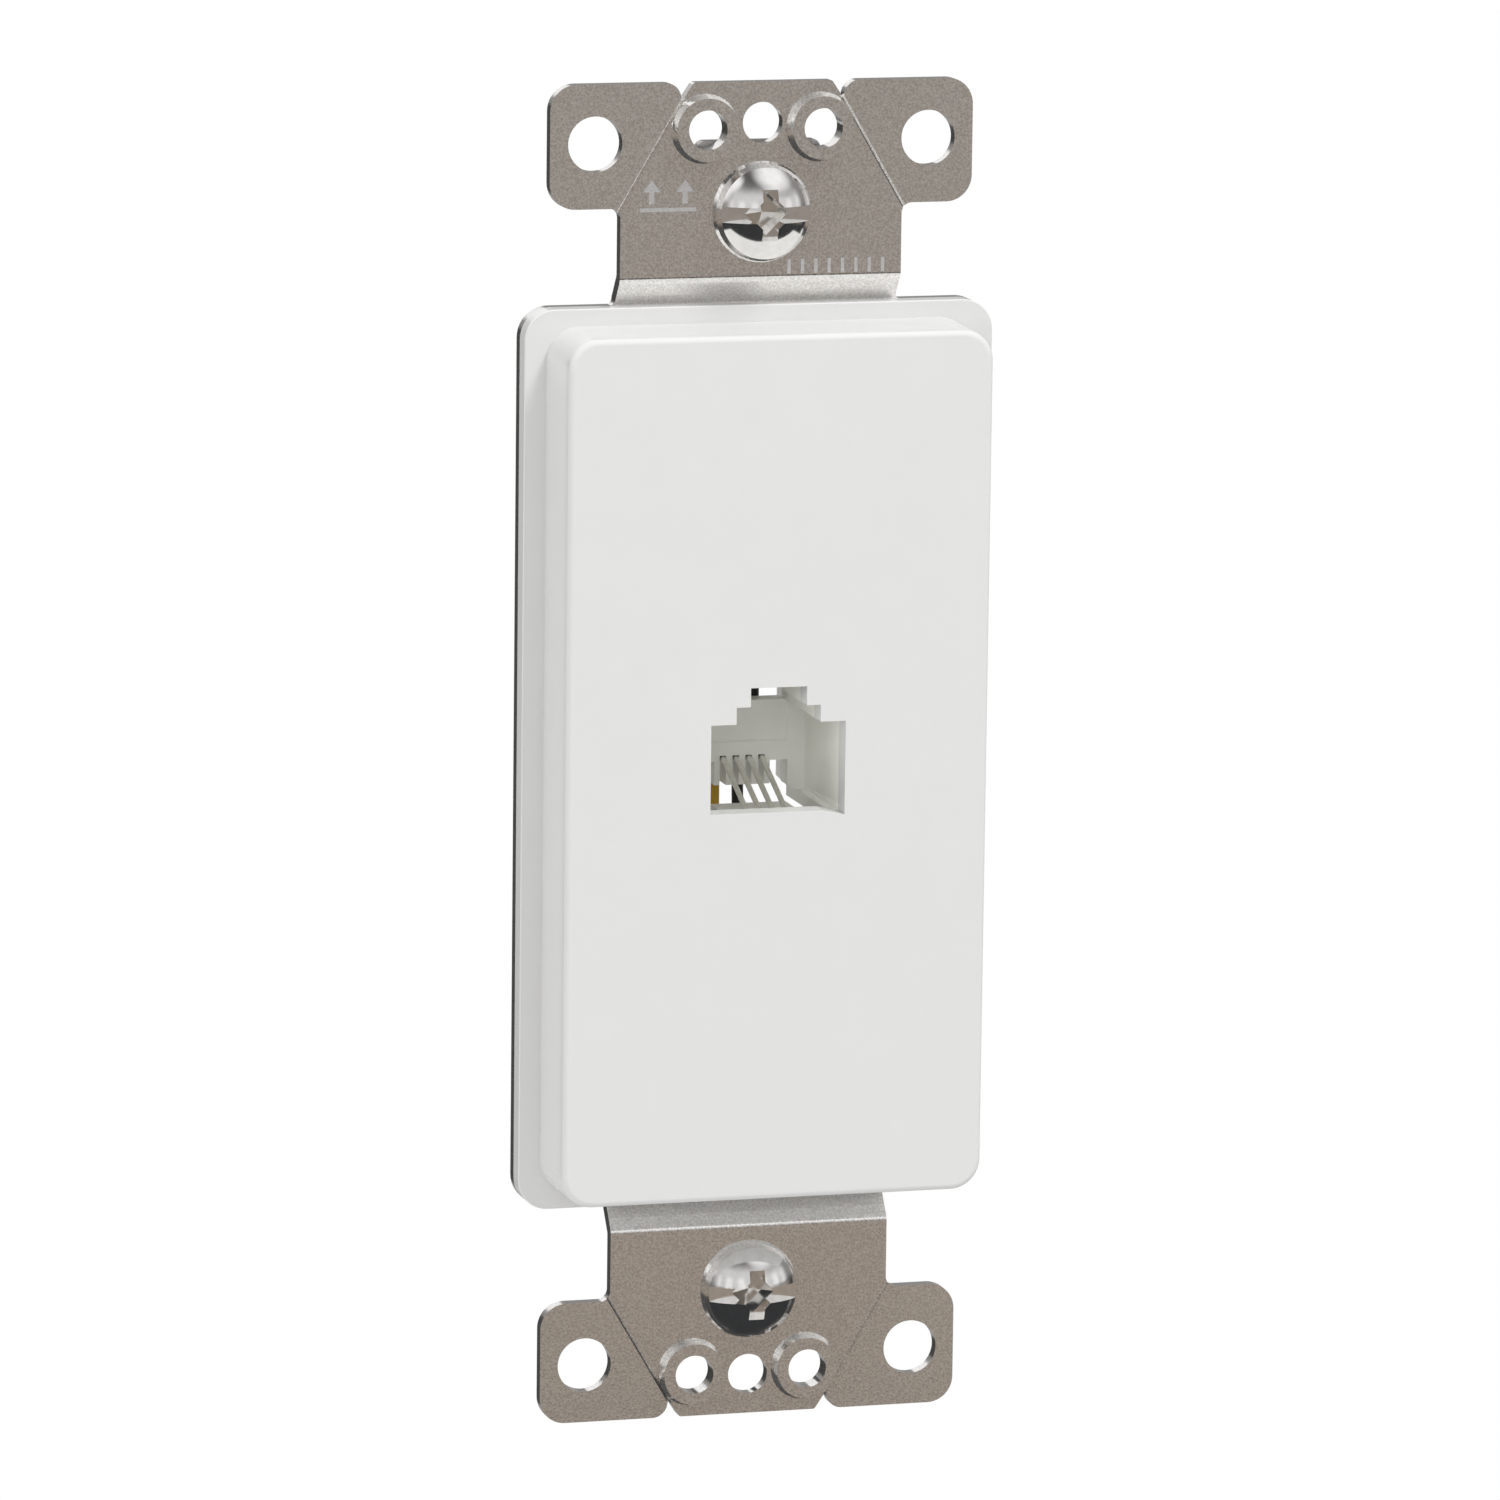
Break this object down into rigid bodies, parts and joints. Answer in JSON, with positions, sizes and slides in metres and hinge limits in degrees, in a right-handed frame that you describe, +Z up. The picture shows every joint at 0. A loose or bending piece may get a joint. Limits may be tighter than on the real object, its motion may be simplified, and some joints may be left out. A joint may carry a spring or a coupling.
{
  "type": "telephone wall socket",
  "caption": "Rectangular telephone wall socket on a steel mounting strap, with a modular jack in front and screw terminals behind, for a wall box.",
  "frame": {"origin": "midway between the two plate screw holes, on the back face of the strap's ears, where the wall is", "axes": "+X right, +Y into the wall, +Z up; the cover faces -Y"},
  "size_m": [0.0366, 0.0316, 0.103],
  "materials": {
    "strap_steel": "zinc plated, speckled",
    "cover_white": "white, smooth gloss",
    "jack_plastic": "natural white",
    "carrier_plastic": "white, fine texture",
    "contact_metal": "plated spring wire",
    "lug_metal": "tinned",
    "terminal_brass": "stamped",
    "screw_zinc": "bright zinc",
    "screw_nickel": "polished nickel",
    "lead_red": "insulation",
    "lead_green": "insulation",
    "lead_yellow": "insulation",
    "lead_black": "insulation"
  },
  "bodies": {
    "root": {"assembly_screw_1": "screw_zinc", "assembly_screw_2": "screw_zinc", "assembly_screw_3": "screw_zinc", "assembly_screw_4": "screw_zinc", "box_screw_bottom": "screw_nickel", "box_screw_top": "screw_nickel", "clamp_washer_black": "screw_zinc", "clamp_washer_green": "screw_zinc", "clamp_washer_red": "screw_zinc", "clamp_washer_yellow": "screw_zinc", "contact_comb": "jack_plastic", "contact_wire_black": "contact_metal", "contact_wire_green": "contact_metal", "contact_wire_red": "contact_metal", "contact_wire_yellow": "contact_metal", "front_cover": "cover_white", "jack_body": "jack_plastic", "lead_black": "lead_black", "lead_green": "lead_green", "lead_lug_black": "lug_metal", "lead_lug_green": "lug_metal", "lead_lug_red": "lug_metal", "lead_lug_yellow": "lug_metal", "lead_red": "lead_red", "lead_yellow": "lead_yellow", "mounting_strap": "strap_steel", "screw_retainer_bottom": "strap_steel", "screw_retainer_top": "strap_steel", "terminal_carrier": "carrier_plastic", "terminal_plate_black": "terminal_brass", "terminal_plate_green": "terminal_brass", "terminal_plate_red": "terminal_brass", "terminal_plate_yellow": "terminal_brass", "terminal_screw_black": "screw_zinc", "terminal_screw_green": "screw_zinc", "terminal_screw_red": "screw_zinc", "terminal_screw_yellow": "screw_zinc"}
  },
  "joints": []
}
